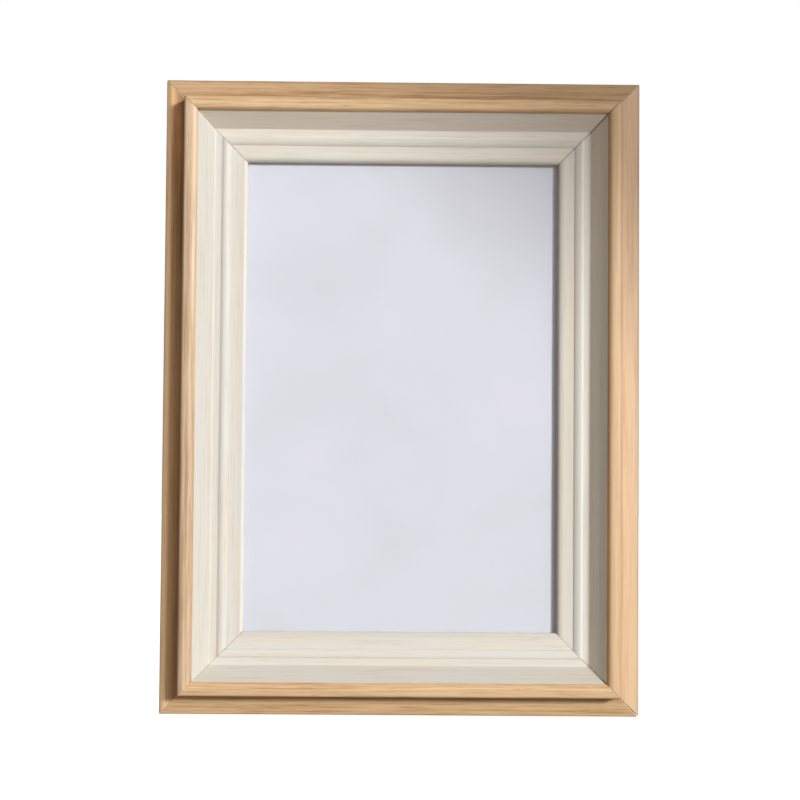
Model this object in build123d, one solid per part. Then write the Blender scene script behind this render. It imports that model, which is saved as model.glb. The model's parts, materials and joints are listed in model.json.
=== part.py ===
"""Wooden photo frame for a 10 x 15 cm print: mitred rails, a glazed front, an easel strut on the back.

The frame stands upright on its bottom edge. +Z is up, the front faces -Y, and +X is to the viewer's right.
The origin is the bottom centre of the whole frame's box. Every length is in millimetres.

A rail is drawn in its own axes: x along the rail, y outward from the sight edge, z from the back plane
towards the viewer. "Height" below is that z: 0 at the back plane, more towards the viewer, less behind it.
"""
import os
from math import sqrt

from build123d import *

# Front of the frame
SIGHT_WIDTH = 99.0
SIGHT_HEIGHT = 149.0
MOULDING_WIDTH = 26.0
WIDTH = SIGHT_WIDTH + 2 * MOULDING_WIDTH
HEIGHT = SIGHT_HEIGHT + 2 * MOULDING_WIDTH
MITRE_GAP = 0.10

# Outer rail's section: outward places and heights
SEAM = 16.85             # where the liner's outer side meets the outer rail
RIM_INNER = 15.3         # the rim's nose covers the liner's edge
RIM_OUTER = 19.75
RIM_HEIGHT = 17.0
NOSE_UNDERSIDE = 15.6
STEP_HEIGHT = 10.5       # the low step outside the rim, at the rim's foot
STEP_EDGE_HEIGHT = 9.5   # the same step at the frame's outer edge
STEP_COVE_RADIUS = 0.3
STEP_EDGE_RADIUS = 0.5
BACK_CHAMFER = 0.3

# Liner rail's section
RABBET = 2.1             # how far the glass goes in behind the sight edge
LEDGE_HEIGHT = 7.5       # the face that the glass lies against
SIGHT_CORNER_HEIGHT = 7.9
SIGHT_ROUND = (1.3, 9.0)       # where the rounded sight edge runs into the flat
FLAT_END = (5.35, 9.2)
OVOLO_START = (5.45, 9.4)
CROWN_START = 7.3
CROWN_END = 7.8
CROWN_HEIGHT = 10.0
SHELF_START = 8.2
SHELF_END = 10.45
SHELF_HEIGHT = 9.7
WALL_TOP = 15.35

# Glass, print, card and board, from the ledge backwards
GLASS_THICKNESS = 1.0
GLASS_CLEARANCE = 0.3    # between the glass's edge and the rabbet, on each side
PRINT_SIZE = (102.0, 152.0)
PRINT_THICKNESS = 0.3
CARD_THICKNESS = 3.0
BOARD_THICKNESS = 3.0
BOARD_CLEARANCE = 0.4

# Easel strut and its hinge
HINGE_Z = 140.0
STRUT_FOOT_Z = 3.5
STRUT_THICKNESS = 3.0
STRUT_TOP_WIDTH = 34.0
STRUT_FOOT_WIDTH = 46.0
STRUT_FOOT_RADIUS = 4.0
STRUT_EARS_ABOVE_AXIS = 1.84   # the ears land on the board when the strut is fully open
STRUT_NOTCH_WIDTH = 21.6
STRUT_NOTCH_BELOW_AXIS = 2.4
LEAF_THICKNESS = 0.8
LEAF_WIDTH = 20.0
LEAF_REACH = 17.0              # from the axis to the leaf's far edge
LEAF_CORNER = 3.0
LEAF_FROM_BARREL = 0.3         # between a leaf's plate and the other leaf's knuckles
PIN_RADIUS = 0.8
PIN_CLEARANCE = 0.05
PIN_HEAD = (1.25, 0.3)         # radius, thickness
BARREL_RADIUS = 1.6
CENTRE_KNUCKLE = 7.6
KNUCKLE_GAP = 0.2
AXIS_FROM_BOARD = 1.7
RIVET_RADIUS = 1.2
RIVET_HEAD_RADIUS = 2.5
RIVET_HEAD_HEIGHT = 0.8
RIVET_SPACING = 11.0
RIVET_FROM_AXIS = 10.5

# Turn buttons and their screws
BUTTON_PLACES_Z = {"lower": 45.0, "upper": HEIGHT - 45.0}
BUTTON_PIVOT = 10.6            # outward from the sight edge
BUTTON_REACH = 11.4            # from the pivot to the centre of the round tip
BUTTON_PIVOT_RADIUS = 4.6
BUTTON_TIP_RADIUS = 3.5
BUTTON_THICKNESS = 1.0
BUTTON_EDGE_RADIUS = 0.35
BUTTON_GAP = 0.1               # under the button, and again between it and the screw head
SCREW_RADIUS = 1.3
SCREW_CLEARANCE = 0.05
SCREW_DEPTH = 8.0
SCREW_TIP = 2.0
SCREW_HEAD_RADIUS = 2.7
SCREW_HEAD_HEIGHT = 1.5
SCREW_HEAD_RIM = 0.5           # the straight side under the dome
CROSS_SLOT = (3.0, 0.6, 0.9)   # length, width, depth

# V-nails, staples and hangers
NAIL_DEPTH = 7.0
NAIL_WING = 3.4
NAIL_THICKNESS = 0.5
OUTER_NAIL_PLACE = 21.6        # outward from the sight edge, along the mitre
LINER_NAIL_PLACE = 9.5
STAPLE_CROWN = 9.6
STAPLE_WIRE = (1.2, 0.6)       # along the rail, and deep
STAPLE_LEG = 6.0
STAPLE_PLACE = 0.23            # share of the sight length, each way from the rail's middle
HANGER_LENGTH = 40.0
HANGER_WIDTH = 7.4
HANGER_PLATE = 0.8
HANGER_FOOT = 7.5
HANGER_RAMP = 2.5
HANGER_RISE = 1.6
HANGER_PLACE = 21.3            # the plate's middle, outward from the sight edge
TOOTH_COUNT = 9
TOOTH_PITCH = 2.2
TOOTH_DEPTH = 1.6
HANGER_NAIL_RADIUS = 0.7
HANGER_NAIL_HEAD = (1.7, 0.6)  # radius, thickness
HANGER_NAIL_EDGE_RADIUS = 0.2
HANGER_NAIL_DEPTH = 7.0

# Heights that follow from the ones above
GLASS_BACK = LEDGE_HEIGHT - GLASS_THICKNESS
PRINT_BACK = GLASS_BACK - PRINT_THICKNESS
CARD_BACK = PRINT_BACK - CARD_THICKNESS
BOARD_BACK = CARD_BACK - BOARD_THICKNESS
HINGE_HEIGHT = BOARD_BACK - AXIS_FROM_BOARD
STRUT_FRONT = HINGE_HEIGHT + BARREL_RADIUS - LEAF_THICKNESS
STRUT_BACK = STRUT_FRONT - STRUT_THICKNESS
REAR_HEIGHT = STRUT_BACK - RIVET_HEAD_HEIGHT
BACK_Y = (RIM_HEIGHT + REAR_HEIGHT) / 2

# Where each side's rail axes are: the middle of its sight edge, and the direction of x along the rail
SIDES = {
    "top": ((0, HEIGHT - MOULDING_WIDTH), (1, 0, 0), SIGHT_WIDTH),
    "bottom": ((0, MOULDING_WIDTH), (-1, 0, 0), SIGHT_WIDTH),
    "left": ((-SIGHT_WIDTH / 2, HEIGHT / 2), (0, 0, 1), SIGHT_HEIGHT),
    "right": ((SIGHT_WIDTH / 2, HEIGHT / 2), (0, 0, -1), SIGHT_HEIGHT),
}
TOWARDS_VIEWER = (0, -1, 0)


def rail_axes(side):
    """Return the location that takes a rail's own axes to the frame's axes."""
    (x, z), along, _ = SIDES[side]
    return Plane(origin=(x, BACK_Y, z), x_dir=along, z_dir=TOWARDS_VIEWER).location


def back_axes(x, z):
    """Return a location at (x, z) on the back plane: x to the viewer's right, y up, z towards the viewer."""
    return Plane(origin=(x, BACK_Y, z), x_dir=(1, 0, 0), z_dir=TOWARDS_VIEWER).location


def slab(width, length, low, high):
    """Return a flat box, centred in x and y, between two heights."""
    return Pos(0, 0, (low + high) / 2) * Box(width, length, high - low)


def prism(sketch, low, high):
    """Return a sketch in the xy plane raised into a solid between two heights."""
    return Pos(0, 0, low) * extrude(sketch, amount=high - low)


def corner(section, place):
    """Return the section's corner at this place."""
    return section.vertices().sort_by_distance(place)[0]


def outer_section():
    """Return the outer rail's section: nose over the liner, rounded rim, low sloping step, square back."""
    crown = (16.9, RIM_HEIGHT)
    nose = (RIM_INNER, 15.9)
    slope_end = (19.1, 16.6)
    slope_tangent = (4.8, -2.0)
    rim_side = (RIM_OUTER, 15.8)
    step_foot = (RIM_OUTER, STEP_HEIGHT)
    step_edge = (MOULDING_WIDTH, STEP_EDGE_HEIGHT)
    outline = [
        Polyline((SEAM, 0), (SEAM, NOSE_UNDERSIDE), (RIM_INNER, NOSE_UNDERSIDE), nose),
        TangentArc(crown, nose, tangent=(-1, 0)),
        TangentArc(crown, slope_end, tangent=(1, 0)),
        TangentArc(slope_end, rim_side, tangent=slope_tangent),
        Polyline(
            rim_side,
            step_foot,
            step_edge,
            (MOULDING_WIDTH, BACK_CHAMFER),
            (MOULDING_WIDTH - BACK_CHAMFER, 0),
            (SEAM, 0),
        ),
    ]
    section = make_face(Curve(children=outline))
    section = fillet(corner(section, step_foot), STEP_COVE_RADIUS)
    section = fillet(corner(section, step_edge), STEP_EDGE_RADIUS)
    return Plane.YZ * section


def liner_section():
    """Return the liner rail's section: rabbet, rounded sight edge, flat, ovolo, crown, shelf, sloped wall."""
    sight_corner = (0, SIGHT_CORNER_HEIGHT)
    crown = (CROWN_START, CROWN_HEIGHT)
    outline = [
        Polyline((RABBET, 0), (RABBET, LEDGE_HEIGHT), (0, LEDGE_HEIGHT), sight_corner),
        TangentArc(sight_corner, SIGHT_ROUND, tangent=(0, 1)),
        Polyline(SIGHT_ROUND, FLAT_END, OVOLO_START),
        TangentArc(crown, OVOLO_START, tangent=(-1, 0)),
        Polyline(
            crown,
            (CROWN_END, CROWN_HEIGHT),
            (SHELF_START, SHELF_HEIGHT),
            (SHELF_END, SHELF_HEIGHT),
            (WALL_TOP, NOSE_UNDERSIDE),
            (SEAM, NOSE_UNDERSIDE),
            (SEAM, 0),
            (RABBET, 0),
        ),
    ]
    return Plane.YZ * make_face(Curve(children=outline))


def mitred_rail(section, sight_length):
    """Return a rail of this section in its own axes, cut at 45 degrees at both ends."""
    overrun = 2.0
    stick = extrude(section, amount=sight_length / 2 + MOULDING_WIDTH + overrun, both=True)
    inner, outer = -overrun, MOULDING_WIDTH + overrun
    short = sight_length / 2 + inner - MITRE_GAP / sqrt(2)
    long = sight_length / 2 + outer - MITRE_GAP / sqrt(2)
    wedge = make_face(Polyline((-short, inner), (short, inner), (long, outer), (-long, outer), close=True))
    return stick & prism(wedge, -overrun, RIM_HEIGHT + overrun)


def corner_nails(place):
    """Return four V-nails, one across each mitre, driven in flush with the back plane."""
    reach = NAIL_WING / sqrt(2)
    thick = NAIL_THICKNESS * sqrt(2)
    chevron = make_face(
        Polyline(
            (-reach, -reach), (0, 0), (reach, -reach),
            (reach, -reach - thick), (0, -thick), (-reach, -reach - thick), close=True,
        )
    )
    nail = Pos(0, (reach + thick) / 2, 0) * prism(chevron, 0, NAIL_DEPTH)
    x = SIGHT_WIDTH / 2 + place
    z = SIGHT_HEIGHT / 2 + place
    corners = [(x, z, -45), (-x, z, 45), (-x, -z, 135), (x, -z, -135)]
    return [back_axes(cx, HEIGHT / 2 + cz) * Rot(0, 0, turn) * nail for cx, cz, turn in corners]


def seam_staples():
    """Return the staples from liner to outer rail, two to a rail, sunk flush with the back plane."""
    wire, deep = STAPLE_WIRE
    crown = slab(wire, STAPLE_CROWN, 0, deep)
    legs = [Pos(0, end, 0) * slab(wire, deep, 0, STAPLE_LEG) for end in
            (-(STAPLE_CROWN - deep) / 2, (STAPLE_CROWN - deep) / 2)]
    staple = crown + legs
    staples = []
    for side, (_, _, sight_length) in SIDES.items():
        for along in (-STAPLE_PLACE * sight_length, STAPLE_PLACE * sight_length):
            staples.append(rail_axes(side) * Pos(along, SEAM, 0) * staple)
    return staples


def button_pivots():
    """Return each turn button's name, side and place (x, z)."""
    pivots = []
    for side, sign in (("left", -1), ("right", 1)):
        for level, z in BUTTON_PLACES_Z.items():
            pivots.append((f"{side}_{level}", side, sign * (SIGHT_WIDTH / 2 + BUTTON_PIVOT), z))
    return pivots


def turn_button(side):
    """Return a turn button about its pivot, with its tip pointing at the middle of the frame."""
    inward = 1 if side == "left" else -1
    outline = make_hull([
        *Circle(BUTTON_PIVOT_RADIUS).edges(),
        *(Pos(inward * BUTTON_REACH, 0) * Circle(BUTTON_TIP_RADIUS)).edges(),
    ])
    hole = Circle(SCREW_RADIUS + SCREW_CLEARANCE)
    plate = prism(outline - hole, -BUTTON_GAP - BUTTON_THICKNESS, -BUTTON_GAP)
    return fillet(plate.faces().sort_by(Axis.Z)[0].outer_wire().edges(), BUTTON_EDGE_RADIUS)


def turn_button_screw():
    """Return a pan-head screw about its axis: head behind the button, point in the wood."""
    under_head = -2 * BUTTON_GAP - BUTTON_THICKNESS
    top = under_head - SCREW_HEAD_HEIGHT
    tip = SCREW_DEPTH
    outline = [
        Polyline(
            (0, tip), (SCREW_RADIUS, tip - SCREW_TIP), (SCREW_RADIUS, under_head),
            (SCREW_HEAD_RADIUS, under_head), (SCREW_HEAD_RADIUS, under_head - SCREW_HEAD_RIM),
        ),
        TangentArc((0, top), (SCREW_HEAD_RADIUS, under_head - SCREW_HEAD_RIM), tangent=(1, 0)),
        Line((0, top), (0, tip)),
    ]
    screw = revolve(make_face(Plane.XZ * Curve(children=outline)), Axis.Z)
    length, width, depth = CROSS_SLOT
    cross = slab(length, width, top, top + depth) + slab(width, length, top, top + depth)
    return screw - cross


def rivet_xs():
    """Return where the two rivets of a leaf stand, sideways from its middle."""
    return (-RIVET_SPACING / 2, RIVET_SPACING / 2)


def hinge_leaf(direction, front, knuckle_spans, hole_radius):
    """Return a hinge leaf about the hinge's axis, which is x at the axis's own height.

    direction is 1 for the leaf above the axis and -1 for the one below. knuckle_spans lists the x ranges that
    have a knuckle; elsewhere the leaf starts clear of the other leaf's knuckles.
    """
    plate_start = BARREL_RADIUS + LEAF_FROM_BARREL
    plate_length = LEAF_REACH - plate_start
    rounded = RectangleRounded(LEAF_WIDTH, plate_length, LEAF_CORNER)
    square_end = Pos(0, -direction * LEAF_CORNER) * Rectangle(LEAF_WIDTH, plate_length - 2 * LEAF_CORNER)
    outline = Pos(0, direction * (plate_start + LEAF_REACH) / 2) * (rounded + square_end)
    plate = prism(outline, front - LEAF_THICKNESS, front)
    barrels = []
    for low, high in knuckle_spans:
        middle_x = (low + high) / 2
        barrels.append(Pos(middle_x, 0, 0) * Rot(0, 90, 0) * Cylinder(BARREL_RADIUS, high - low))
        tab = slab(high - low, 2 * plate_start, front - LEAF_THICKNESS, front)
        barrels.append(Pos(middle_x, direction * plate_start, 0) * tab)
    leaf = plate + barrels
    bore = Rot(0, 90, 0) * Cylinder(hole_radius, LEAF_WIDTH + 2)
    holes = [Pos(x, direction * RIVET_FROM_AXIS, 0) * Cylinder(RIVET_RADIUS, 10) for x in rivet_xs()]
    return leaf - bore - holes


def rivets(direction, front, back):
    """Return a leaf's two rivets about the hinge's axis: flush at the front, a domed head behind."""
    outline = [
        Polyline((0, front), (RIVET_RADIUS, front), (RIVET_RADIUS, back), (RIVET_HEAD_RADIUS, back)),
        TangentArc((0, back - RIVET_HEAD_HEIGHT), (RIVET_HEAD_RADIUS, back), tangent=(1, 0)),
        Line((0, back - RIVET_HEAD_HEIGHT), (0, front)),
    ]
    rivet = revolve(make_face(Plane.XZ * Curve(children=outline)), Axis.Z)
    return [Pos(x, direction * RIVET_FROM_AXIS, 0) * rivet for x in rivet_xs()]


def easel_strut(strut_rivets):
    """Return the strut about the hinge's axis: a tapered leg, notched round the hinge's barrel."""
    foot = STRUT_FOOT_Z - HINGE_Z
    top = STRUT_EARS_ABOVE_AXIS
    leg = make_face(
        Polyline(
            (-STRUT_TOP_WIDTH / 2, top), (STRUT_TOP_WIDTH / 2, top),
            (STRUT_FOOT_WIDTH / 2, foot), (-STRUT_FOOT_WIDTH / 2, foot), close=True,
        )
    )
    leg = fillet(leg.vertices().sort_by(Axis.Y)[:2], STRUT_FOOT_RADIUS)
    notch_height = STRUT_NOTCH_BELOW_AXIS + top + 1
    notch = Pos(0, notch_height / 2 - STRUT_NOTCH_BELOW_AXIS) * Rectangle(STRUT_NOTCH_WIDTH, notch_height)
    front = STRUT_FRONT - HINGE_HEIGHT
    return prism(leg - notch, front - STRUT_THICKNESS, front) - strut_rivets


def sawtooth_hanger():
    """Return a sawtooth hanger about its middle, in a rail's axes: feet, raised bar, teeth facing inward."""
    half = HANGER_LENGTH / 2
    bar_half = half - HANGER_FOOT - HANGER_RAMP
    foot_end = half - HANGER_FOOT
    low_bar = HANGER_RISE + HANGER_PLATE
    outline = make_face(
        Polyline(
            (-half, 0), (-foot_end, 0), (-bar_half, -HANGER_RISE),
            (bar_half, -HANGER_RISE), (foot_end, 0), (half, 0),
            (half, -HANGER_PLATE), (foot_end, -HANGER_PLATE), (bar_half, -low_bar),
            (-bar_half, -low_bar), (-foot_end, -HANGER_PLATE), (-half, -HANGER_PLATE),
            close=True,
        )
    )
    plate = extrude(Plane.XZ * outline, amount=HANGER_WIDTH / 2, both=True)
    edge = -HANGER_WIDTH / 2
    first = -TOOTH_PITCH * TOOTH_COUNT / 2
    gullets = []
    for number in range(TOOTH_COUNT):
        left = first + number * TOOTH_PITCH
        gullet = make_face(
            Polyline(
                (left, edge - 1), (left, edge), (left + TOOTH_PITCH / 2, edge + TOOTH_DEPTH),
                (left + TOOTH_PITCH, edge), (left + TOOTH_PITCH, edge - 1), close=True,
            )
        )
        gullets.append(prism(gullet, -low_bar - 1, 0))
    return plate - gullets - [Pos(x, 0, 0) * Cylinder(HANGER_NAIL_RADIUS, 8) for x in hanger_nail_xs()]


def hanger_nail_xs():
    """Return where a hanger's two nails stand, along the rail."""
    return (-(HANGER_LENGTH - HANGER_FOOT) / 2, (HANGER_LENGTH - HANGER_FOOT) / 2)


def hanger_nails():
    """Return a hanger's two nails about the hanger's middle: flat head on the foot, shank in the wood."""
    radius, thickness = HANGER_NAIL_HEAD
    shank = prism(Circle(HANGER_NAIL_RADIUS), -HANGER_PLATE, HANGER_NAIL_DEPTH)
    head = prism(Circle(radius), -HANGER_PLATE - thickness, -HANGER_PLATE)
    head = fillet(head.faces().sort_by(Axis.Z)[0].edges(), HANGER_NAIL_EDGE_RADIUS)
    return [Pos(x, 0, 0) * (shank + head) for x in hanger_nail_xs()]


def build():
    """Return every node's shape by name."""
    nodes = {}
    middle = back_axes(0, HEIGHT / 2)
    hinge = back_axes(0, HINGE_Z) * Pos(0, 0, HINGE_HEIGHT)

    # Hardware that sits in the wood
    outer_nails = corner_nails(OUTER_NAIL_PLACE)
    liner_nails = corner_nails(LINER_NAIL_PLACE)
    staples = seam_staples()
    screws = [back_axes(x, z) * turn_button_screw() for _, _, x, z in button_pivots()]
    portrait = rail_axes("top") * Pos(0, HANGER_PLACE, 0)
    landscape = rail_axes("right") * Pos(0, HANGER_PLACE, 0)
    nails_in_hangers = [place * nail for place in (portrait, landscape) for nail in hanger_nails()]

    # Rails, with the pockets that the hardware fills
    for side, (_, _, sight_length) in SIDES.items():
        outer = rail_axes(side) * mitred_rail(outer_section(), sight_length)
        liner = rail_axes(side) * mitred_rail(liner_section(), sight_length)
        nodes[f"outer_rail_{side}"] = outer - outer_nails - staples - nails_in_hangers
        nodes[f"liner_rail_{side}"] = liner - liner_nails - staples - screws
    nodes["outer_corner_nails"] = Compound(children=outer_nails)
    nodes["liner_corner_nails"] = Compound(children=liner_nails)
    nodes["seam_staples"] = Compound(children=staples)

    # What lies in the rabbet
    rabbet_width = SIGHT_WIDTH + 2 * RABBET
    rabbet_height = SIGHT_HEIGHT + 2 * RABBET
    nodes["glazing_pane"] = middle * slab(
        rabbet_width - 2 * GLASS_CLEARANCE, rabbet_height - 2 * GLASS_CLEARANCE, GLASS_BACK, LEDGE_HEIGHT
    )
    nodes["print_sheet"] = middle * slab(*PRINT_SIZE, PRINT_BACK, GLASS_BACK)
    nodes["filler_card"] = middle * slab(*PRINT_SIZE, CARD_BACK, PRINT_BACK)
    board = middle * slab(
        rabbet_width - 2 * BOARD_CLEARANCE, rabbet_height - 2 * BOARD_CLEARANCE, BOARD_BACK, CARD_BACK
    )

    # Easel strut and its hinge
    leaf_front = STRUT_FRONT - HINGE_HEIGHT + LEAF_THICKNESS
    fixed_rivets = rivets(1, CARD_BACK - HINGE_HEIGHT, AXIS_FROM_BOARD - LEAF_THICKNESS)
    moving_rivets = rivets(-1, leaf_front, STRUT_BACK - HINGE_HEIGHT)
    centre = CENTRE_KNUCKLE / 2
    outer_spans = [(-LEAF_WIDTH / 2, -centre - KNUCKLE_GAP), (centre + KNUCKLE_GAP, LEAF_WIDTH / 2)]
    nodes["strut_hinge_fixed_leaf"] = hinge * hinge_leaf(1, AXIS_FROM_BOARD, outer_spans, PIN_RADIUS)
    nodes["strut_hinge_moving_leaf"] = hinge * hinge_leaf(
        -1, leaf_front, [(-centre, centre)], PIN_RADIUS + PIN_CLEARANCE
    )
    head_radius, head_thickness = PIN_HEAD
    pin = Rot(0, 90, 0) * Cylinder(PIN_RADIUS, LEAF_WIDTH)
    heads = [Pos(x, 0, 0) * Rot(0, 90, 0) * Cylinder(head_radius, head_thickness) for x in
             (-(LEAF_WIDTH + head_thickness) / 2, (LEAF_WIDTH + head_thickness) / 2)]
    nodes["strut_hinge_pin"] = hinge * (pin + heads)
    nodes["board_rivets"] = hinge * Compound(children=fixed_rivets)
    nodes["strut_rivets"] = hinge * Compound(children=moving_rivets)
    nodes["backing_board"] = board - [hinge * rivet for rivet in fixed_rivets]
    nodes["easel_strut"] = hinge * easel_strut(moving_rivets)

    # Turn buttons and hangers
    for name, side, x, z in button_pivots():
        nodes[f"turn_button_{name}"] = back_axes(x, z) * turn_button(side)
    nodes["turn_button_screws"] = Compound(children=screws)
    nodes["hanger_portrait"] = portrait * sawtooth_hanger()
    nodes["hanger_landscape"] = landscape * sawtooth_hanger()
    nodes["hanger_nails"] = Compound(children=nails_in_hangers)
    return nodes


os.makedirs("parts", exist_ok=True)
for node, shape in build().items():
    export_step(shape, f"parts/{node}.step")
    print(f"{node}: {len(shape.solids())} solids")
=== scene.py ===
"""Studio picture of a two-tone wooden photo frame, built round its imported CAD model.

The frame stands upright: +Z is up, the front faces -Y, and +X is to the viewer's right. Lengths are in
metres, except in a rail's section and in a material's distances, which are in millimetres: "outward" from the
sight edge, and "height" from the back plane towards the viewer.
"""

import json
from math import atan2, ceil, cos, hypot, radians, sin
from typing import NamedTuple

import bmesh
import bpy
from mathutils import Matrix, Vector, noise


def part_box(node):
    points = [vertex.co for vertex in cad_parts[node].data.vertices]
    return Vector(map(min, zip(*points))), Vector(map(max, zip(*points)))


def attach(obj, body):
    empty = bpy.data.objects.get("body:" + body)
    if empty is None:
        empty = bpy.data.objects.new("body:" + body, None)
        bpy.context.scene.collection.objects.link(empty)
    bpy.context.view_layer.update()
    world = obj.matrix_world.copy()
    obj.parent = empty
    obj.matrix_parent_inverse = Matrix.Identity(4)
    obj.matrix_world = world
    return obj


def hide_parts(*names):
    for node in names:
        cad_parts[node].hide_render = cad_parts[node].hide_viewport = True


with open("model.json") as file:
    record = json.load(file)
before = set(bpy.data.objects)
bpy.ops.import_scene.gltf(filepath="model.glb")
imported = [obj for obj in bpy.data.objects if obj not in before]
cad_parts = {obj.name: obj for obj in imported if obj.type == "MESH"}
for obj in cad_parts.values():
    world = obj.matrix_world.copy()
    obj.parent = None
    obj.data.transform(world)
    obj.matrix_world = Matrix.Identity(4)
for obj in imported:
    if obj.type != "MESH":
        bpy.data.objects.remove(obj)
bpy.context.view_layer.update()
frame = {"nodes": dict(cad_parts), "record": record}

MM = 0.001
MM_PER_METRE = 1000.0

# Places taken from the CAD model
RAIL_LOW, RAIL_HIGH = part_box("outer_rail_left")
BACK_Y = RAIL_HIGH.y
MIDDLE_Z = (RAIL_LOW.z + RAIL_HIGH.z) / 2
SIGHT_HALF_WIDTH = -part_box("liner_rail_left")[1].x
SIGHT_HALF_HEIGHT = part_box("liner_rail_top")[0].z - MIDDLE_Z

# The rails' sections, in millimetres, as in the CAD model
MOULDING_WIDTH = 26.0
SEAM = 16.85
RIM_INNER = 15.3
RIM_OUTER = 19.75
RIM_HEIGHT = 17.0
NOSE_UNDERSIDE = 15.6
STEP_HEIGHT = 10.5
STEP_EDGE_HEIGHT = 9.5
RABBET = 2.1
LEDGE_HEIGHT = 7.5       # the glass lies against the ledge
GLASS_THICKNESS = 1.0
SIGHT_CORNER_HEIGHT = 7.9
SIGHT_ROUND_END = 1.3
SIGHT_ROUND_HEIGHT = 9.0
FLAT_END = 5.35
FLAT_END_HEIGHT = 9.2
OVOLO_START = 5.45
OVOLO_START_HEIGHT = 9.4
CROWN_START = 7.3
CROWN_END = 7.8
CROWN_HEIGHT = 10.0
SHELF_START = 8.2
SHELF_END = 10.45
SHELF_HEIGHT = 9.7
WALL_TOP = 15.35

# How the sticks are worked. Lengths are in millimetres
ARC_STEPS = 8
SHARP_TURN = radians(20)       # a corner that turns by more than this is rounded over
EDGE_RADIUS = 0.35
EDGE_STEPS = 4
EDGE_SHARE = 0.42              # a rounded corner takes at most this share of each side that meets there
RING_SPACING = 2.5
BACK_INSET = 0.03              # the wood's back lies this far inside the nails and staples
MITRE_CLOSED = 0.01            # a mitre's gap at the back, on each stick
SMOOTH_ANGLE = radians(30)

# A stick's surface wavers by up to this much, towards the sight edge and the back, in waves along it and
# across its section. Below the starting height it stays true
WOBBLE = 0.03
WOBBLE_START = 1
WAVES_ALONG = 0.035
WAVES_ACROSS = 0.11
HEIGHT_WAVES = Vector((0, 0, 50))    # how far the waves in height are from those outward

# How far the edge is broken along the mitre, at each rail's start and end
MITRE_EDGES = {
    "top": (0.06, 0.14),
    "bottom": (0.14, 0.24),
    "left": (0.14, 0.26),
    "right": (0.06, 0.16),
}

# How far each mitre has opened at the front, on each of its two sticks: at the inner end and at the outer end
OUTER_OPENING = {
    "top_left": (0.00, 0.03),
    "top_right": (0.10, 0.03),
    "bottom_left": (0.00, 0.04),
    "bottom_right": (0.00, 0.40),
}
LINER_OPENING = {
    "top_left": (0.02, 0.00),
    "top_right": (0.16, 0.20),
    "bottom_left": (0.10, 0.00),
    "bottom_right": (0.00, 0.10),
}

# How far past a line a face of the section may lie when it is judged bare, in millimetres
BACK_MARGIN = 0.2
SEAM_MARGIN = 0.1
NOSE_MARGIN = 0.05
LEDGE_MARGIN = 0.1
UNWASHED_EDGE = 0.5            # the liner's edge under the nose, which has no cream wash

# Directions
X = Vector((1, 0, 0))
Z = Vector((0, 0, 1))
TOWARDS_VIEWER = Vector((0, -1, 0))


class Side(NamedTuple):
    """Where one side's rails lie."""
    middle: Vector          # of the sight edge, on the back plane
    along: Vector
    outward: Vector
    sight_length: float
    start_corner: str
    end_corner: str


SIDES = {
    "top": Side(
        Vector((0, BACK_Y, MIDDLE_Z + SIGHT_HALF_HEIGHT)), X, Z, 2 * SIGHT_HALF_WIDTH,
        start_corner="top_left", end_corner="top_right",
    ),
    "bottom": Side(
        Vector((0, BACK_Y, MIDDLE_Z - SIGHT_HALF_HEIGHT)), X, -Z, 2 * SIGHT_HALF_WIDTH,
        start_corner="bottom_left", end_corner="bottom_right",
    ),
    "left": Side(
        Vector((-SIGHT_HALF_WIDTH, BACK_Y, MIDDLE_Z)), Z, -X, 2 * SIGHT_HALF_HEIGHT,
        start_corner="bottom_left", end_corner="top_left",
    ),
    "right": Side(
        Vector((SIGHT_HALF_WIDTH, BACK_Y, MIDDLE_Z)), Z, X, 2 * SIGHT_HALF_HEIGHT,
        start_corner="bottom_right", end_corner="top_right",
    ),
}

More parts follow.
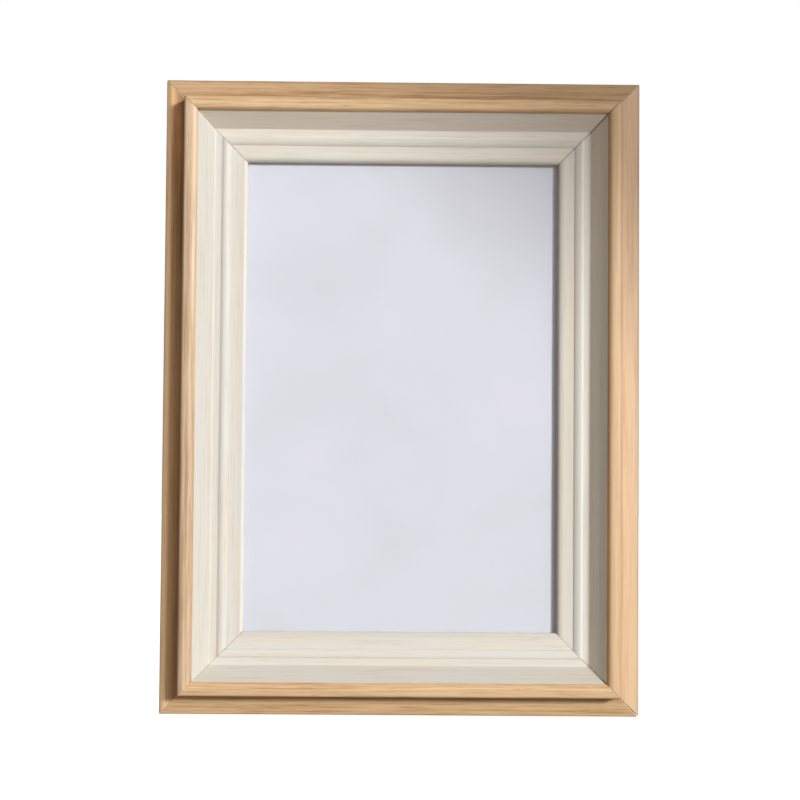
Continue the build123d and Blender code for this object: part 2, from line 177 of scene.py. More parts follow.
# Each side's sticks, first the outer rail's: where its grain starts, the wood's colour, how strongly its grain
# shows, the shade of its dark grain lines, and the painted shade of its nose (partly a darker tone there), of
# the foot of its rim and of its step at STEP_PLACES; the left step's shades paint the rim's shadow and its
# soft edge.
# Then the liner's: the cream's colour, how strongly its grain shows, and the painted shade of its sloped wall,
# sight edge's round, ovolo and the outer edge of its crown. A shade multiplies the colour
STEP_PLACES = (21.1, 22.3, 24.0, 25.5)
STICKS = {
    "top": {
        "seed": 1,
        "wood": (0.78, 0.55, 0.33),
        "figure": 0.9,
        "line": (0.80, 0.74, 0.67),
        "nose": (0.80, 0.70, 0.58),
        "foot": (0.58, 0.48, 0.38),
        "step": [(0.78, 0.75, 0.72)] * len(STEP_PLACES),
        "cream": (0.79, 0.75, 0.672),
        "cream_figure": 0.8,
        "wall": (0.99, 0.95, 0.92),
        "sight": (0.74, 0.73, 0.71),
        "ovolo": (0.96, 0.96, 0.96),
        "crown_edge_painted_shade": (0.93, 0.92, 0.91),
    },
    "bottom": {
        "seed": 2,
        "wood": (0.81, 0.565, 0.335),
        "figure": 0.8,
        "line": (0.76, 0.70, 0.62),
        "nose": (1.00, 0.96, 0.90),
        "foot": (0.58, 0.48, 0.38),
        "step": [(0.88, 0.86, 0.80)] * len(STEP_PLACES),
        "cream": (0.755, 0.725, 0.66),
        "cream_figure": 0.7,
        "wall": (0.87, 0.86, 0.85),
        "sight": (0.90, 0.90, 0.89),
        "ovolo": (1.0, 1.0, 1.0),
        "crown_edge_painted_shade": (1.0, 1.0, 1.0),
    },
    "left": {
        "seed": 3,
        "wood": (0.82, 0.62, 0.435),
        "figure": 0.8,
        "line": (0.90, 0.86, 0.82),
        "nose": (0.80, 0.76, 0.68),
        "foot": (0.58, 0.48, 0.38),
        "step": [(0.66, 0.50, 0.34), (0.84, 0.70, 0.50), (1.20, 1.06, 0.84), (0.70, 0.64, 0.55)],
        "cream": (0.745, 0.715, 0.655),
        "cream_figure": 0.8,
        "wall": (0.87, 0.87, 0.86),
        "sight": (1.0, 1.0, 1.0),
        "ovolo": (0.92, 0.92, 0.92),
        "crown_edge_painted_shade": (0.80, 0.78, 0.76),
    },
    "right": {
        "seed": 4,
        "wood": (0.72, 0.50, 0.30),
        "figure": 0.4,
        "line": (0.97, 0.96, 0.94),
        "nose": (0.70, 0.57, 0.45),
        "foot": (0.86, 0.82, 0.76),
        "step": [(0.98, 0.98, 0.98)] * len(STEP_PLACES),
        "cream": (0.77, 0.735, 0.66),
        "cream_figure": 0.6,
        "wall": (0.97, 0.94, 0.90),
        "sight": (0.55, 0.54, 0.52),
        "ovolo": (0.95, 0.95, 0.95),
        "crown_edge_painted_shade": (1.0, 1.0, 1.0),
    },
}

# The left stick's step, in the rim's shadow, has painted light near its top, lighter and redder there: its
# shades there, and how far they show at these places above its middle
PAINTED_LEFT_STEP_TOP = [(1.00, 0.68, 0.46), (1.22, 0.86, 0.62), (1.22, 1.02, 0.78), (0.76, 0.67, 0.56)]
PAINTED_LEFT_STEP_TOP_REACH = ((60, 0.0), (72, 0.35), (79, 1.0), (88, 1.0), (93, 0.2))

# Each layer of a stick's grain: how far its seed is from the stick's own, and how far it is stretched along it
LAYERS = {
    "wood": (0, 45),
    "bare": (2, 20),
    "pores": (9, 9),
    "lines": (14, 70),
    "cream": (20, 30),
    "specks": (24, 5),
}
SEED_STEP = (7.3, 3.1, 5.7)           # how far each next seed moves the grain, in millimetres

# The other materials
MOTTLE = 0.88                         # the share of its colour that a mottled material keeps where darkest
GLASS_SKIN = 0.3                      # how far in from its faces the pane's sheen changes, in millimetres
GLASS_SHEEN = 0.08
SCRATCH_SCALE = (300, 4000, 4000)     # scratches are long in X and fine across it
SCRATCH_TURN = (0.0, 0.3, 0.2)
WORN = (-0.04, 0.06)                  # how far wear takes a metal's roughness down and up

# The camera looks almost at the middle of the frame, a little from below
CAMERA_DISTANCE = 0.609
CAMERA_AIM = Vector((-0.0003, BACK_Y, MIDDLE_Z - 0.0007))
CAMERA_YAW = radians(-0.64)
CAMERA_PITCH = radians(-2.58)
CAMERA_ROLL = radians(0.44)
CAMERA_LENS = 85.05
SENSOR_WIDTH = 36.0
CAMERA_NEAR = 0.01

# The key light comes from the right, in front and a little above
KEY_DIRECTION = Vector((0.60, -0.75, 0.27))
KEY_STRENGTH = 3.18
KEY_ANGLE = radians(11)

# A second, weaker light behind the frame shows its back
BACK_LIGHT_DIRECTION = Vector((-0.40, 0.80, 0.45))
BACK_LIGHT_STRENGTH = 2.0
BACK_LIGHT_ANGLE = radians(30)

# The room's light, and how bright the background is in the picture
AMBIENT = 0.28
AMBIENT_COLOUR = (1.0, 0.90, 0.80)
BACKGROUND = 1.0

# A half-clear flag in the key light's way softly shades the frame's top right corner. Its edge throws its
# shadow along the line through these two places on the frame
FLAG_LINE_START = Vector((0.004, BACK_Y, 0.187))
FLAG_LINE_END = Vector((0.0665, BACK_Y, 0.133))
FLAG_DISTANCE = 0.28
FLAG_SIZE = 0.5
FLAG_CLEAR = 0.38    # the share of the light that passes through it

FLOOR_SIZE = 8.0
FLOOR_GLOW = 0.86
FLOOR_COLOUR = (0.25, 0.25, 0.25)


# ---------------------------------------------------------------- sections

def tangent_arc(start, tangent, end):
    """Return points along the arc that leaves start in a direction and reaches end, without start."""
    dx, dy = end[0] - start[0], end[1] - start[1]
    length = hypot(*tangent)
    tx, ty = tangent[0] / length, tangent[1] / length
    nx, ny = -ty, tx
    if dx * nx + dy * ny < 0:
        nx, ny = ty, -tx
    ahead, aside = dx * tx + dy * ty, dx * nx + dy * ny
    radius = (dx * dx + dy * dy) / (2 * aside)
    sweep = 2 * atan2(aside, ahead)
    points = []
    for step in range(1, ARC_STEPS + 1):
        turn = sweep * step / ARC_STEPS
        forward, side = radius * sin(turn), radius * (1 - cos(turn))
        points.append((start[0] + forward * tx + side * nx, start[1] + forward * ty + side * ny))
    return points


def softened(outline):
    """Return a closed outline with each sharp corner rounded over."""
    count = len(outline)
    result = []
    for number, here in enumerate(outline):
        before, after = outline[number - 1], outline[(number + 1) % count]
        into = Vector((here[0] - before[0], here[1] - before[1]))
        away = Vector((after[0] - here[0], after[1] - here[1]))
        if into.angle(away) < SHARP_TURN:
            result.append(Vector(here))
            continue
        reach = min(EDGE_RADIUS, EDGE_SHARE * into.length, EDGE_SHARE * away.length)
        corner = Vector(here)
        first = corner - into.normalized() * reach
        last = corner + away.normalized() * reach
        for step in range(EDGE_STEPS + 1):
            share = step / EDGE_STEPS
            result.append(first * (1 - share) ** 2 + corner * 2 * share * (1 - share) + last * share ** 2)
    return result


def outer_section():
    """Return the outer rail's outline: nose over the liner, rounded rim, low flat step, square back."""
    nose = (RIM_INNER, 15.9)
    crown = (16.9, RIM_HEIGHT)
    slope_end = (19.1, 16.6)
    slope_tangent = (4.8, -2.0)
    rim_side = (RIM_OUTER, 15.8)
    inner_round = tangent_arc(crown, (-1, 0), nose)
    return softened([
        (SEAM, BACK_INSET),
        (SEAM, NOSE_UNDERSIDE),
        (RIM_INNER, NOSE_UNDERSIDE),
        *reversed(inner_round),
        crown,
        *tangent_arc(crown, (1, 0), slope_end),
        *tangent_arc(slope_end, slope_tangent, rim_side),
        (RIM_OUTER, STEP_HEIGHT),
        (MOULDING_WIDTH, STEP_EDGE_HEIGHT),
        (MOULDING_WIDTH, BACK_INSET),
    ])


def liner_section():
    """Return the liner rail's outline: rabbet, rounded sight edge, flat, ovolo, crown, shelf, sloped wall."""
    sight_corner = (0, SIGHT_CORNER_HEIGHT)
    crown = (CROWN_START, CROWN_HEIGHT)
    ovolo = tangent_arc(crown, (-1, 0), (OVOLO_START, OVOLO_START_HEIGHT))
    return softened([
        (RABBET, BACK_INSET),
        (RABBET, LEDGE_HEIGHT),
        (0, LEDGE_HEIGHT),
        sight_corner,
        *tangent_arc(sight_corner, (0, 1), (SIGHT_ROUND_END, SIGHT_ROUND_HEIGHT)),
        (FLAT_END, FLAT_END_HEIGHT),
        *reversed(ovolo),
        crown,
        (CROWN_END, CROWN_HEIGHT),
        (SHELF_START, SHELF_HEIGHT),
        (SHELF_END, SHELF_HEIGHT),
        (WALL_TOP, NOSE_UNDERSIDE),
        (SEAM, NOSE_UNDERSIDE),
        (SEAM, BACK_INSET),
    ])


def shrunk(section, amount):
    """Return a closed outline moved inwards by amount."""
    count = len(section)
    area = sum(section[i - 1].cross(section[i]) for i in range(count))
    turn = 1 if area > 0 else -1
    result = []
    for number, here in enumerate(section):
        run = section[(number + 1) % count] - section[number - 1]
        inward = Vector((-run.y, run.x)).normalized() * turn
        result.append(here + inward * amount)
    return result


# ---------------------------------------------------------------- rails

FACE, BARE, EDGE, END = range(4)    # the places of a rail's materials


def rail_rings(name, section, side, opening):
    """Return a rail's rings of vertices, from one mitred end to the other.

    The first and last rings are drawn in, which breaks the edges along the mitres. opening is how far each
    corner's mitre has opened.
    """
    middle, along, outward, sight_length, start_corner, end_corner = SIDES[side]
    half = sight_length / MM / 2
    start_edge, end_edge = MITRE_EDGES[side]
    low_u, high_u = min(point.x for point in section), max(point.x for point in section)
    steps = ceil((half + MOULDING_WIDTH) * 2 / RING_SPACING)
    seed = sum(map(ord, name))

    def end_place(point, corner):
        """Return how far from the stick's middle it ends at a point of its section, towards one corner."""
        share = (point.x - low_u) / (high_u - low_u)
        open_width = opening[corner][0] * (1 - share) + opening[corner][1] * share ** 2
        return half + point.x - MITRE_CLOSED - open_width * point.y / RIM_HEIGHT

    def low_place(point):
        return -end_place(point, start_corner)

    def high_place(point):
        return end_place(point, end_corner)

    def place_between(point, share):
        """Return the place at a share of the way from one broken edge to the other."""
        low = low_place(point) + start_edge
        high = high_place(point) - end_edge
        return low + (high - low) * share

    def ring(points, place):
        """Return a ring's vertices, where place gives a point's distance along the stick."""
        ring_points = []
        for number, point in enumerate(points):
            distance = place(point)
            u, v = point
            if v > WOBBLE_START:
                wave = Vector((distance * WAVES_ALONG, number * WAVES_ACROSS, seed))
                u += WOBBLE * (noise.noise(wave) - 1) / 2
                v += WOBBLE * (noise.noise(wave + HEIGHT_WAVES) - 1) / 2
            ring_points.append(
                middle + along * (distance * MM) + outward * (u * MM) + TOWARDS_VIEWER * (v * MM)
            )
        return ring_points

    rings = [ring(shrunk(section, start_edge), low_place)]
    for step in range(steps + 1):
        rings.append(ring(section, lambda point: place_between(point, step / steps)))
    rings.append(ring(shrunk(section, end_edge), high_place))
    return rings


def rail_faces(section, ring_count, is_bare):
    """Return the faces round a rail and over its ends, and which of the rail's materials each has."""
    count = len(section)
    faces, materials = [], []
    for number in range(ring_count - 1):
        is_edge = number in (0, ring_count - 2)
        for corner in range(count):
            after = (corner + 1) % count
            first, second = number * count + corner, number * count + after
            faces.append((first, second, second + count, first + count))
            halfway = (section[corner] + section[after]) / 2
            materials.append(BARE if is_bare(halfway) else EDGE if is_edge else FACE)
    last = (ring_count - 1) * count
    faces.append(tuple(range(count)))
    faces.append(tuple(range(last, last + count)))
    materials += [END, END]
    return faces, materials


def rail(name, section, side, opening, finishes, is_bare):
    """Make a mitred rail: its section swept along the stick, with broken edges at both mitres.

    finishes are the materials of the face, the bare wood, the broken edges and the mitred ends. is_bare says,
    from a place in the section, whether the wood is bare there.
    """
    rings = rail_rings(name, section, side, opening)
    vertices = [vertex for ring in rings for vertex in ring]
    faces, materials = rail_faces(section, len(rings), is_bare)

    mesh = bpy.data.meshes.new(name)
    mesh.from_pydata(vertices, [], faces)
    for finish in finishes:
        mesh.materials.append(finish)
    mesh.polygons.foreach_set("material_index", materials)
    recalculate_normals(mesh)
    smooth(mesh)
    piece = bpy.data.objects.new(name, mesh)
    bpy.context.scene.collection.objects.link(piece)
    return piece


def recalculate_normals(mesh):
    """Point every face of a closed mesh outwards."""
    work = bmesh.new()
    work.from_mesh(mesh)
    bmesh.ops.recalc_face_normals(work, faces=work.faces)
    work.to_mesh(mesh)
    work.free()


def smooth(mesh):
    """Shade a mesh smooth, except across its sharp edges."""
    mesh.polygons.foreach_set("use_smooth", [True] * len(mesh.polygons))
    mesh.set_sharp_from_angle(angle=SMOOTH_ANGLE)


# ---------------------------------------------------------------- materials

# A mix node's colour sockets, by number, because they share their names with its other sockets
MIX_FIRST_COLOUR, MIX_SECOND_COLOUR = 6, 7
MIX_RESULT_COLOUR = 2


class Graph:
    """A material's nodes round one Principled shader, with short calls to add and join them."""

    def __init__(self, name, **shader_inputs):
        self.material = bpy.data.materials.new(name)
        self.material.use_nodes = True
        self.tree = self.material.node_tree
        self.tree.nodes.clear()
        self.shader = self.add("ShaderNodeBsdfPrincipled")
        output = self.add("ShaderNodeOutputMaterial")
        self.tree.links.new(self.shader.outputs["BSDF"], output.inputs["Surface"])
        self.surface(**shader_inputs)

    def surface(self, **shader_inputs):
        """Set the shader's inputs, each named with _ for a space."""
        for key, value in shader_inputs.items():
            self.set(self.shader.inputs[key.replace("_", " ")], value)

    def set(self, socket, value):
        """Give a socket a constant, or join it to another node's output."""
        if isinstance(value, bpy.types.NodeSocket):
            self.tree.links.new(value, socket)
        else:
            socket.default_value = value

    def add(self, kind, inputs=(), **settings):
        """Return a new node with these inputs, by name or number, and these settings."""
        node = self.tree.nodes.new(kind)
        for key, value in settings.items():
            setattr(node, key, value)
        for key, value in dict(inputs).items():
            self.set(node.inputs[key], value)
        return node

    def place(self, scale=(MM_PER_METRE,) * 3, move=(0, 0, 0), turn=(0, 0, 0)):
        """Return the point's place on the object, in millimetres unless another scale is given."""
        coordinates = self.add("ShaderNodeTexCoord").outputs["Object"]
        inputs = {"Vector": coordinates, "Scale": scale, "Location": move, "Rotation": turn}
        return self.add("ShaderNodeMapping", inputs).outputs["Vector"]

    def noise(self, place, scale, detail=2.0, roughness=0.5, distortion=0.0):
        """Return a soft random value that changes from place to place."""
        inputs = {
            "Vector": place,
            "Scale": scale,
            "Detail": detail,
            "Roughness": roughness,
            "Distortion": distortion,
        }
        return self.add("ShaderNodeTexNoise", inputs).outputs["Fac"]

    def ramp(self, value, *stops):
        """Return a colour ramp of value. Each stop is (position, colour)."""
        node = self.add("ShaderNodeValToRGB", {"Fac": value})
        elements = node.color_ramp.elements
        while len(elements) < len(stops):
            elements.new(0.5)
        for element, (position, colour) in zip(elements, stops):
            element.position = position
            element.color = colour
        return node.outputs["Color"]

    def span(self, value, low, high, to_low=0.0, to_high=1.0):
        """Return value taken from one span to another, without leaving it."""
        inputs = {"Value": value, "From Min": low, "From Max": high, "To Min": to_low, "To Max": to_high}
        return self.add("ShaderNodeMapRange", inputs, clamp=True).outputs["Result"]

    def sum(self, *weighted):
        """Return the sum of (value, weight) pairs."""
        total = 0.0
        for value, weight in weighted:
            inputs = {0: value, 1: weight, 2: total}
            total = self.add("ShaderNodeMath", inputs, operation="MULTIPLY_ADD").outputs["Value"]
        return total

    def mix(self, share, first, second, blend="MIX"):
        """Return two colours mixed."""
        node = self.add("ShaderNodeMix", data_type="RGBA", blend_type=blend)
        self.set(node.inputs["Factor"], share)
        self.set(node.inputs[MIX_FIRST_COLOUR], first)
        self.set(node.inputs[MIX_SECOND_COLOUR], second)
        return node.outputs[MIX_RESULT_COLOUR]

    def distance(self, start, direction):
        """Return the point's distance from a start, along a direction, in millimetres."""
        coordinates = self.add("ShaderNodeTexCoord").outputs["Object"]
        factors = {0: coordinates, 1: tuple(direction * MM_PER_METRE)}
        reach = self.add("ShaderNodeVectorMath", factors, operation="DOT_PRODUCT").outputs["Value"]
        return self.sum((reach, 1.0), (1.0, -direction.dot(start) * MM_PER_METRE))

    def outward(self, side):
        """Return the point's distance outward from the sight edge, on one side's rail."""
        return self.distance(SIDES[side].middle, SIDES[side].outward)

    def along(self, side):
        """Return the point's distance along the stick from its middle, on one side's rail."""
        return self.distance(SIDES[side].middle, SIDES[side].along)

    def height(self):
        """Return the point's height above the back plane."""
        return self.distance(Vector((0, BACK_Y, 0)), TOWARDS_VIEWER)

    def by_distance(self, distance, *stops):
        """Return a shade that changes with a distance. Each stop is (distance, colour)."""
        low, high = stops[0][0], stops[-1][0]
        share = self.span(distance, low, high)
        return self.ramp(share, *[((place - low) / (high - low), colour) for place, colour in stops])

    def times(self, first, second):
        """Return two colours multiplied."""
        return self.mix(1.0, first, second, "MULTIPLY")

    def bump(self, height, strength, distance):
        """Join a height to the shader's normal. distance is how far it reaches, in millimetres."""
        inputs = {"Height": height, "Strength": strength, "Distance": distance * MM}
        self.set(self.shader.inputs["Normal"], self.add("ShaderNodeBump", inputs).outputs["Normal"])


def rgb(red, green, blue):
    """Return a colour from its values in linear light, as a shader takes it."""
    return (red, green, blue, 1.0)


WHITE = rgb(1.0, 1.0, 1.0)
BLACK = rgb(0.0, 0.0, 0.0)


def darker(colour):
    """Return the colour of a mottled material's darkest places."""
    return tuple(MOTTLE * part for part in colour)


def stick_place(graph, side, layer):
    """Return a place on a stick for one layer of its grain, in millimetres.

    It is squeezed along the stick, so that what it drives is stretched along the grain.
    """
    shift, stretch = LAYERS[layer]
    seed = STICKS[side]["seed"] + shift
    across, along = MM_PER_METRE, MM_PER_METRE / stretch
    scale = (along, across, across) if side in ("top", "bottom") else (across, across, along)
    return graph.place(scale, move=tuple(seed * step for step in SEED_STEP))


def outer_painted_shades(graph, side, step):
    """Return the painted shade across an outer rail's front, with these on its step, and the one of its side.
    """
    side_top, front_start = 7.5, 9.0
    # painted shade: the nose, a dark line along the rim's foot, the step, and a dark line at the outer edge;
    # the side a little darker
    front = graph.by_distance(
        graph.outward(side),
        (15.5, rgb(*STICKS[side]["nose"])),
        (16.6, WHITE),
        (19.0, WHITE),
        (19.7, rgb(0.90, 0.86, 0.82)),
        (20.4, rgb(*STICKS[side]["foot"])),
        *[(place, rgb(*shade)) for place, shade in zip(STEP_PLACES, step)],
        (25.9, rgb(0.60, 0.52, 0.44)),
    )
    share = graph.span(graph.height(), side_top, front_start)
    return graph.mix(share, rgb(0.95, 0.92, 0.88), front)


def natural_wood(side):
    """Light straight-grained wood under a satin lacquer, with painted shade across its section."""
    stick = STICKS[side]
    graph = Graph(f"natural_wood_{side}")
    place = stick_place(graph, side, "wood")
    broad = graph.noise(place, 0.30, detail=1)
    streaks = graph.noise(place, 1.3, detail=3, roughness=0.65, distortion=0.1)
    fine = graph.noise(place, 4.0, detail=3, roughness=0.65)
    pores = graph.noise(stick_place(graph, side, "pores"), 6.5, detail=2)
    lines = graph.noise(stick_place(graph, side, "lines"), 2.1, detail=2, roughness=0.6)
    figure = graph.sum((broad, 0.30), (streaks, 0.45), (fine, 0.25))
    shade = graph.ramp(
        figure,
        (0.40, rgb(0.62, 0.53, 0.44)),
        (0.45, rgb(0.82, 0.77, 0.71)),
        (0.50, rgb(0.96, 0.95, 0.93)),
        (0.56, rgb(1.05, 1.06, 1.07)),
    )
    shade = graph.mix(stick["figure"], rgb(0.95, 0.93, 0.91), shade)
    colour = graph.times(rgb(*stick["wood"]), shade)
    dark_line = rgb(*stick["line"])
    line = graph.ramp(
        lines,
        (0.42, WHITE),
        (0.445, dark_line),
        (0.46, dark_line),
        (0.49, WHITE),
    )
    colour = graph.times(colour, line)
    # painted shade across the section: the nose, the rim's foot, the step and the outer edge
    across = outer_painted_shades(graph, side, stick["step"])
    # near its top, the left step's painted shadow gives way to lighter, redder painted light
    if side == "left":
        painted_top = outer_painted_shades(graph, side, PAINTED_LEFT_STEP_TOP)
        stops = [(place, rgb(share, share, share)) for place, share in PAINTED_LEFT_STEP_TOP_REACH]
        painted_top_share = graph.by_distance(graph.along(side), *stops)
        across = graph.mix(painted_top_share, across, painted_top)
    colour = graph.times(colour, across)
    pore_depth = graph.span(pores, 0.62, 0.76)
    colour = graph.mix(graph.span(pore_depth, 0, 1, 0, 0.25), colour, rgb(0.40, 0.22, 0.10))
    roughness = graph.span(streaks, 0.3, 0.7, 0.52, 0.42)
    graph.surface(Base_Color=colour, Roughness=roughness, Specular_IOR_Level=0.38)
    graph.bump(graph.sum((fine, 0.7), (pore_depth, -0.6)), strength=0.3, distance=0.05)
    return graph.material


def cream_wood(side):
    """The liner's cream wash, with the grain showing faintly through it and painted shade on each of its
    parts.
    """
    stick = STICKS[side]
    graph = Graph(f"cream_wood_{side}")
    place = stick_place(graph, side, "cream")
    warm = graph.noise(place, 0.50, detail=2)
    streaks = graph.noise(place, 1.3, detail=3, roughness=0.6, distortion=0.2)
    fine = graph.noise(place, 4.0, detail=3, roughness=0.6)
    tint = graph.ramp(
        warm,
        (0.38, rgb(0.99, 1.0, 1.03)),
        (0.50, WHITE),
        (0.62, rgb(1.01, 0.985, 0.95)),
    )
    tint = graph.times(tint, rgb(*stick["cream"]))
    grain = graph.sum((streaks, 0.60), (fine, 0.40))
    even = rgb(0.97, 0.97, 0.96)
    shade = graph.ramp(
        grain,
        (0.38, rgb(0.86, 0.85, 0.82)),
        (0.48, even),
        (0.58, WHITE),
    )
    colour = graph.times(tint, graph.mix(stick["cream_figure"], even, shade))
    # painted shade: on the sight edge's round, a thin line at the ovolo's foot, over the ovolo, along the
    # crown's outer edge and on the sloped wall
    across = graph.by_distance(
        graph.outward(side),
        (0.3, rgb(*stick["sight"])),
        (2.3, WHITE),
        (5.0, WHITE),
        (5.4, rgb(0.98, 0.97, 0.96)),
        (5.8, rgb(*stick["ovolo"])),
        (7.1, rgb(*stick["ovolo"])),
        (7.6, rgb(*stick["crown_edge_painted_shade"])),
        (8.1, WHITE),
        (10.3, WHITE),
        (10.7, rgb(*stick["wall"])),
    )
    colour = graph.times(colour, across)
    specks = graph.span(graph.noise(stick_place(graph, side, "specks"), 2.2, detail=1), 0.80, 0.84)
    colour = graph.mix(graph.span(specks, 0, 1, 0, 0.5), colour, rgb(0.30, 0.24, 0.18))
    roughness = graph.span(streaks, 0.3, 0.7, 0.55, 0.44)
    graph.surface(Base_Color=colour, Roughness=roughness, Specular_IOR_Level=0.4)
    graph.bump(graph.sum((fine, 0.6), (streaks, 0.5)), strength=0.25, distance=0.05)
    return graph.material


def plain(name, colour, roughness):
    """A matt material, faintly mottled."""
    graph = Graph(name, Roughness=roughness)
    mottle = graph.noise(graph.place(), 1.5, detail=2)
    graph.surface(Base_Color=graph.ramp(mottle, (0.4, darker(colour)), (0.6, colour)))
    return graph.material


def bare_wood(side):
    """Unfinished wood: the backs of the sticks, and the sides that meet in the seam and the rabbet."""
    graph = Graph(f"bare_wood_{side}", Roughness=0.75)
    place = stick_place(graph, side, "bare")
    streaks = graph.noise(place, 0.9, detail=3, roughness=0.6)
    fine = graph.noise(place, 3.4, detail=2)
    colour = graph.ramp(
        graph.sum((streaks, 0.7), (fine, 0.3)),
        (0.36, rgb(0.52, 0.37, 0.22)),
        (0.50, rgb(0.66, 0.50, 0.33)),
        (0.64, rgb(0.76, 0.62, 0.45)),
    )
    graph.surface(Base_Color=colour)
    graph.bump(fine, strength=0.5, distance=0.08)
    return graph.material


def fibreboard():
    """Bare fibreboard, with its fine short fibres."""
    graph = Graph("fibreboard", Roughness=0.82)
    place = graph.place()
    clouds = graph.noise(place, 0.05, detail=2)
    fibres = graph.noise(place, 1.6, detail=4, roughness=0.7, distortion=0.6)
    colour = graph.ramp(
        graph.sum((clouds, 0.15), (fibres, 0.85)),
        (0.34, rgb(0.115, 0.062, 0.030)),
        (0.50, rgb(0.185, 0.108, 0.055)),
        (0.66, rgb(0.270, 0.170, 0.092)),
    )
    graph.surface(Base_Color=colour)
    graph.bump(fibres, strength=0.4, distance=0.1)
    return graph.material


def paper():
    """A plain, cool white sheet, softly mottled."""
    graph = Graph("white_paper", Roughness=0.7)
    clouds = graph.noise(graph.place(), 0.028, detail=2, distortion=0.5)
    colour = graph.ramp(
        clouds,
        (0.30, rgb(0.680, 0.704, 0.778)),
        (0.50, rgb(0.708, 0.726, 0.814)),
        (0.70, rgb(0.736, 0.748, 0.850)),
    )
    graph.surface(Base_Color=colour)
    return graph.material


def card():
    """Grey card."""
    graph = Graph("grey_card", Roughness=0.85)
    fibres = graph.noise(graph.place(), 1.4, detail=3)
    colour = graph.ramp(fibres, (0.35, rgb(0.27, 0.25, 0.22)), (0.65, rgb(0.38, 0.355, 0.31)))
    graph.surface(Base_Color=colour)
    return graph.material


def glass():
    """A clear pane. Only its front has the faint sheen: its back lies on the print."""
    graph = Graph("clear_glass", Roughness=0.03)
    clear_from = LEDGE_HEIGHT - GLASS_THICKNESS + GLASS_SKIN
    sheen_from = LEDGE_HEIGHT - GLASS_SKIN
    sheen = graph.span(graph.height(), clear_from, sheen_from, 0.0, GLASS_SHEEN)
    smears = graph.noise(graph.place(), 0.02, detail=1)
    colour = graph.ramp(smears, (0.4, rgb(0.80, 0.84, 0.86)), (0.6, rgb(0.88, 0.90, 0.92)))
    graph.surface(Alpha=sheen, Base_Color=colour)
    return graph.material


def metal(name, colour, roughness):
    """Plated steel, drawn and tumbled: faintly cloudy, with fine scratches."""
    graph = Graph(name, Metallic=1.0)
    clouds = graph.noise(graph.place(), 0.35, detail=3)
    scratches = graph.noise(graph.place(SCRATCH_SCALE, turn=SCRATCH_TURN), 1.0, detail=2)
    cloudy = graph.ramp(clouds, (0.35, darker(colour)), (0.65, colour))
    wear = graph.sum((clouds, 0.3), (scratches, 0.7))
    worn = graph.span(wear, 0.35, 0.65, roughness + WORN[0], roughness + WORN[1])
    graph.surface(Base_Color=cloudy, Roughness=worn)
    graph.bump(scratches, strength=0.12, distance=0.02)
    return graph.material


# ---------------------------------------------------------------- build

def outer_is_bare(point):
    """Say whether the outer rail's wood is bare at this place: its back, and its side against the liner."""
    is_back = point.y < BACK_MARGIN
    is_by_liner = point.x < SEAM + SEAM_MARGIN and point.y < NOSE_UNDERSIDE + NOSE_MARGIN
    return is_back or is_by_liner


def liner_is_bare(point):
    """Say whether the liner rail's wood is bare at this place: all but its face."""
    return point.y < LEDGE_HEIGHT - LEDGE_MARGIN or point.x > SEAM - UNWASHED_EDGE


def make_rails():
    """Make every side's outer rail and liner rail, in place of the CAD model's."""
    outer, liner = outer_section(), liner_section()
    outer_edge = plain("wood_edge", rgb(0.82, 0.62, 0.42), 0.6)
    liner_edge = plain("cream_edge", rgb(0.82, 0.79, 0.71), 0.6)
    end_grain = plain("end_grain", rgb(0.26, 0.15, 0.08), 0.8)
    for side in SIDES:
        bare = bare_wood(side)
        finishes = (natural_wood(side), bare, outer_edge, end_grain)
        piece = rail(f"outer_{side}", outer, side, OUTER_OPENING, finishes, outer_is_bare)
        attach(piece, "frame")
        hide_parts(f"outer_rail_{side}")
        finishes = (cream_wood(side), bare, liner_edge, end_grain)
        piece = rail(f"liner_{side}", liner, side, LINER_OPENING, finishes, liner_is_bare)
        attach(piece, "frame")
        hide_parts(f"liner_rail_{side}")


def dress_cad_nodes():
    """Give every CAD node but the rails the material of its slot."""
    finishes = {
        "clear_glass": glass(),
        "white_paper": paper(),
        "grey_card": card(),
        "fibreboard": fibreboard(),
        "bright_steel": metal("bright_steel", rgb(0.62, 0.63, 0.65), 0.32),
        "zinc_plate": metal("zinc_plate", rgb(0.68, 0.70, 0.72), 0.36),
        "nickel_plate": metal("nickel_plate", rgb(0.70, 0.65, 0.57), 0.30),
        "brass_plate": metal("brass_plate", rgb(0.80, 0.58, 0.27), 0.30),
    }
    for subpart in frame["record"]["subparts"]:
        finish = finishes.get(subpart["material_slot"])
        if finish:
            mesh = frame["nodes"][subpart["node"]].data
            mesh.materials.clear()
            mesh.materials.append(finish)


def make_stage():
    """Make the floor, which the camera sees and which throws no light back."""
    bpy.ops.mesh.primitive_plane_add(size=FLOOR_SIZE)
    floor = bpy.context.object
    floor.name = "floor"
    graph = Graph("pale_floor", Roughness=0.9, Base_Color=rgb(*FLOOR_COLOUR))
    graph.surface(Emission_Color=WHITE, Emission_Strength=FLOOR_GLOW)
    floor.data.materials.append(graph.material)
    floor.visible_diffuse = False
    floor.visible_glossy = False


def make_flag():
    """Make the flag: a half-clear sheet parallel to the frame, which does nothing but shade it."""
    along = (FLAG_LINE_END - FLAG_LINE_START).normalized()
    depth = Vector((0, 1, 0))
    over = along.cross(depth)
    turn = Matrix((over, along, over.cross(along))).transposed()
    line_middle = (FLAG_LINE_START + FLAG_LINE_END) / 2
    middle = line_middle + KEY_DIRECTION.normalized() * FLAG_DISTANCE + over * FLAG_SIZE / 2
    bpy.ops.mesh.primitive_plane_add(size=FLAG_SIZE)
    flag = bpy.context.object
    flag.name = "flag"
    flag.matrix_world = Matrix.Translation(middle) @ turn.to_4x4()
    graph = Graph("flag", Alpha=1 - FLAG_CLEAR, Base_Color=BLACK)
    flag.data.materials.append(graph.material)
    flag.visible_camera = False
    flag.visible_diffuse = False
    flag.visible_glossy = False


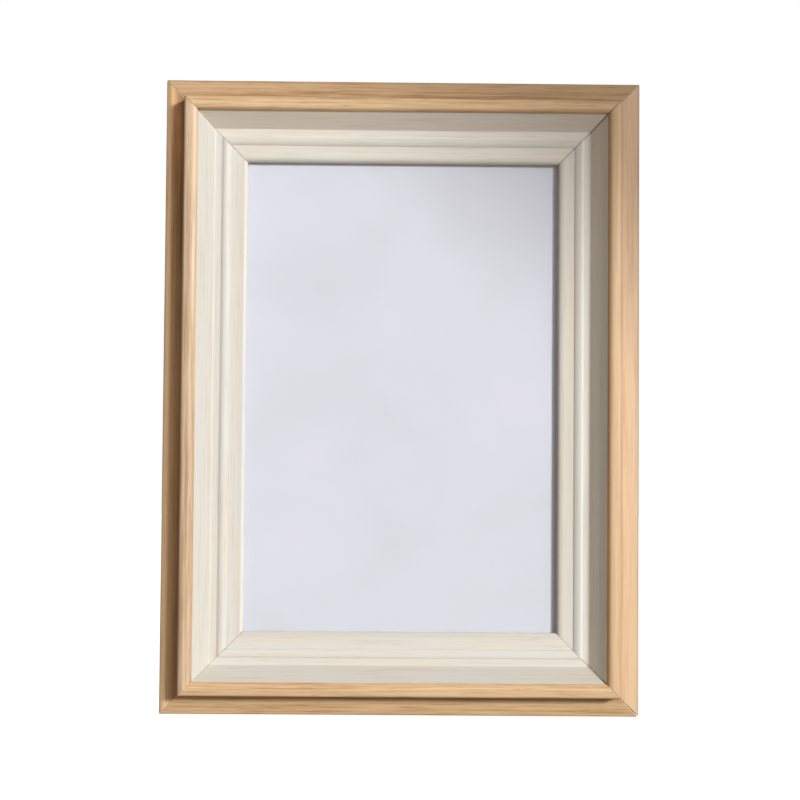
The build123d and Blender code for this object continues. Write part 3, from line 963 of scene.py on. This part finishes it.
def make_sun(name, direction, strength, angle):
    """Make a far light that shines from this direction."""
    sun = bpy.data.lights.new(name, "SUN")
    sun.energy = strength
    sun.angle = angle
    light = bpy.data.objects.new(name, sun)
    light.rotation_euler = direction.to_track_quat("Z", "Y").to_euler()
    bpy.context.scene.collection.objects.link(light)


def background(tree, strength, colour):
    """Return a new background's light, for the world."""
    node = tree.nodes.new("ShaderNodeBackground")
    node.inputs["Strength"].default_value = strength
    node.inputs["Color"].default_value = colour
    return node.outputs["Background"]


def make_lights():
    """Make the two suns and the world, which shows the camera a white background."""
    make_sun("key", KEY_DIRECTION, KEY_STRENGTH, KEY_ANGLE)
    make_sun("back_light", BACK_LIGHT_DIRECTION, BACK_LIGHT_STRENGTH, BACK_LIGHT_ANGLE)

    world = bpy.data.worlds.new("studio")
    bpy.context.scene.world = world
    world.use_nodes = True
    tree = world.node_tree
    tree.nodes.clear()
    ray = tree.nodes.new("ShaderNodeLightPath")
    mix = tree.nodes.new("ShaderNodeMixShader")
    output = tree.nodes.new("ShaderNodeOutputWorld")
    tree.links.new(ray.outputs["Is Camera Ray"], mix.inputs["Fac"])
    tree.links.new(background(tree, AMBIENT, rgb(*AMBIENT_COLOUR)), mix.inputs[1])
    tree.links.new(background(tree, BACKGROUND, WHITE), mix.inputs[2])
    tree.links.new(mix.outputs["Shader"], output.inputs["Surface"])


def make_camera():
    """Make the camera, turned about its aim by yaw and pitch and about its own axis by roll."""
    data = bpy.data.cameras.new("camera")
    data.lens = CAMERA_LENS
    data.sensor_width = SENSOR_WIDTH
    data.clip_start = CAMERA_NEAR
    camera = bpy.data.objects.new("camera", data)
    yaw, pitch = CAMERA_YAW, CAMERA_PITCH
    back = Vector((sin(yaw) * cos(pitch), -cos(yaw) * cos(pitch), sin(pitch)))
    turn = back.to_track_quat("Z", "Y").to_matrix() @ Matrix.Rotation(CAMERA_ROLL, 3, "Z")
    camera.matrix_world = Matrix.Translation(CAMERA_AIM + back * CAMERA_DISTANCE) @ turn.to_4x4()
    bpy.context.scene.collection.objects.link(camera)
    bpy.context.scene.camera = camera


make_camera()
make_lights()
make_stage()
make_flag()
make_rails()
dress_cad_nodes()
bpy.context.scene.view_settings.view_transform = "Standard"
